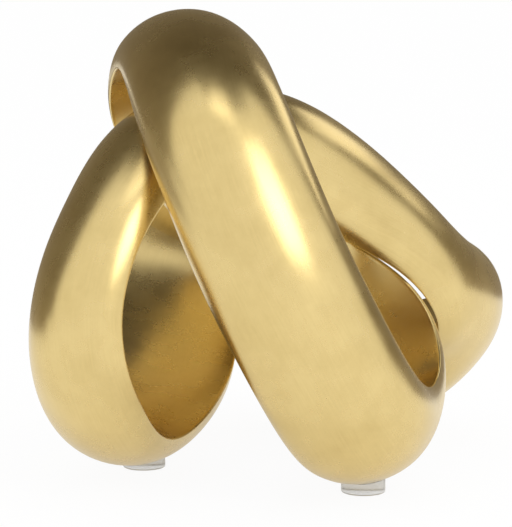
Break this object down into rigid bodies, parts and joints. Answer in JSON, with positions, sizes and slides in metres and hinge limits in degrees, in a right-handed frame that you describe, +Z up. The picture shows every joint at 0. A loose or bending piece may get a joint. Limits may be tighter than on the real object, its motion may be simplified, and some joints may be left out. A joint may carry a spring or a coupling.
{
  "type": "knot sculpture",
  "caption": "Satin gold metal ornament: a broad half-round band tied as a closed knot of open loops, standing on small clear bumpers.",
  "frame": {"origin": "on the floor under the middle of the whole knot", "axes": "+Z up, +X to the right and +Y away from the viewer when the broad front strand faces the viewer"},
  "size_m": [0.2028, 0.2676, 0.1947],
  "materials": {
    "gold": "satin, fine brushed, warm gold",
    "gold_flat": "satin, fine brushed, warm gold",
    "sleeve": "unpolished sheet, hidden inside",
    "bumper": "clear soft plastic",
    "adhesive": "clear adhesive film"
  },
  "bodies": {
    "root": {"shell_left": "gold", "shell_right": "gold", "shell_back": "gold", "shell_front": "gold", "shell_middle": "gold", "strip_left": "gold_flat", "strip_right": "gold_flat", "strip_back": "gold_flat", "strip_front": "gold_flat", "strip_middle": "gold_flat", "sleeve_left": "sleeve", "sleeve_right": "sleeve", "sleeve_back": "sleeve", "sleeve_front": "sleeve", "sleeve_middle": "sleeve", "foot_left": "bumper", "foot_right": "bumper", "foot_front": "bumper", "adhesive_left": "adhesive", "adhesive_right": "adhesive", "adhesive_front": "adhesive"}
  },
  "joints": []
}
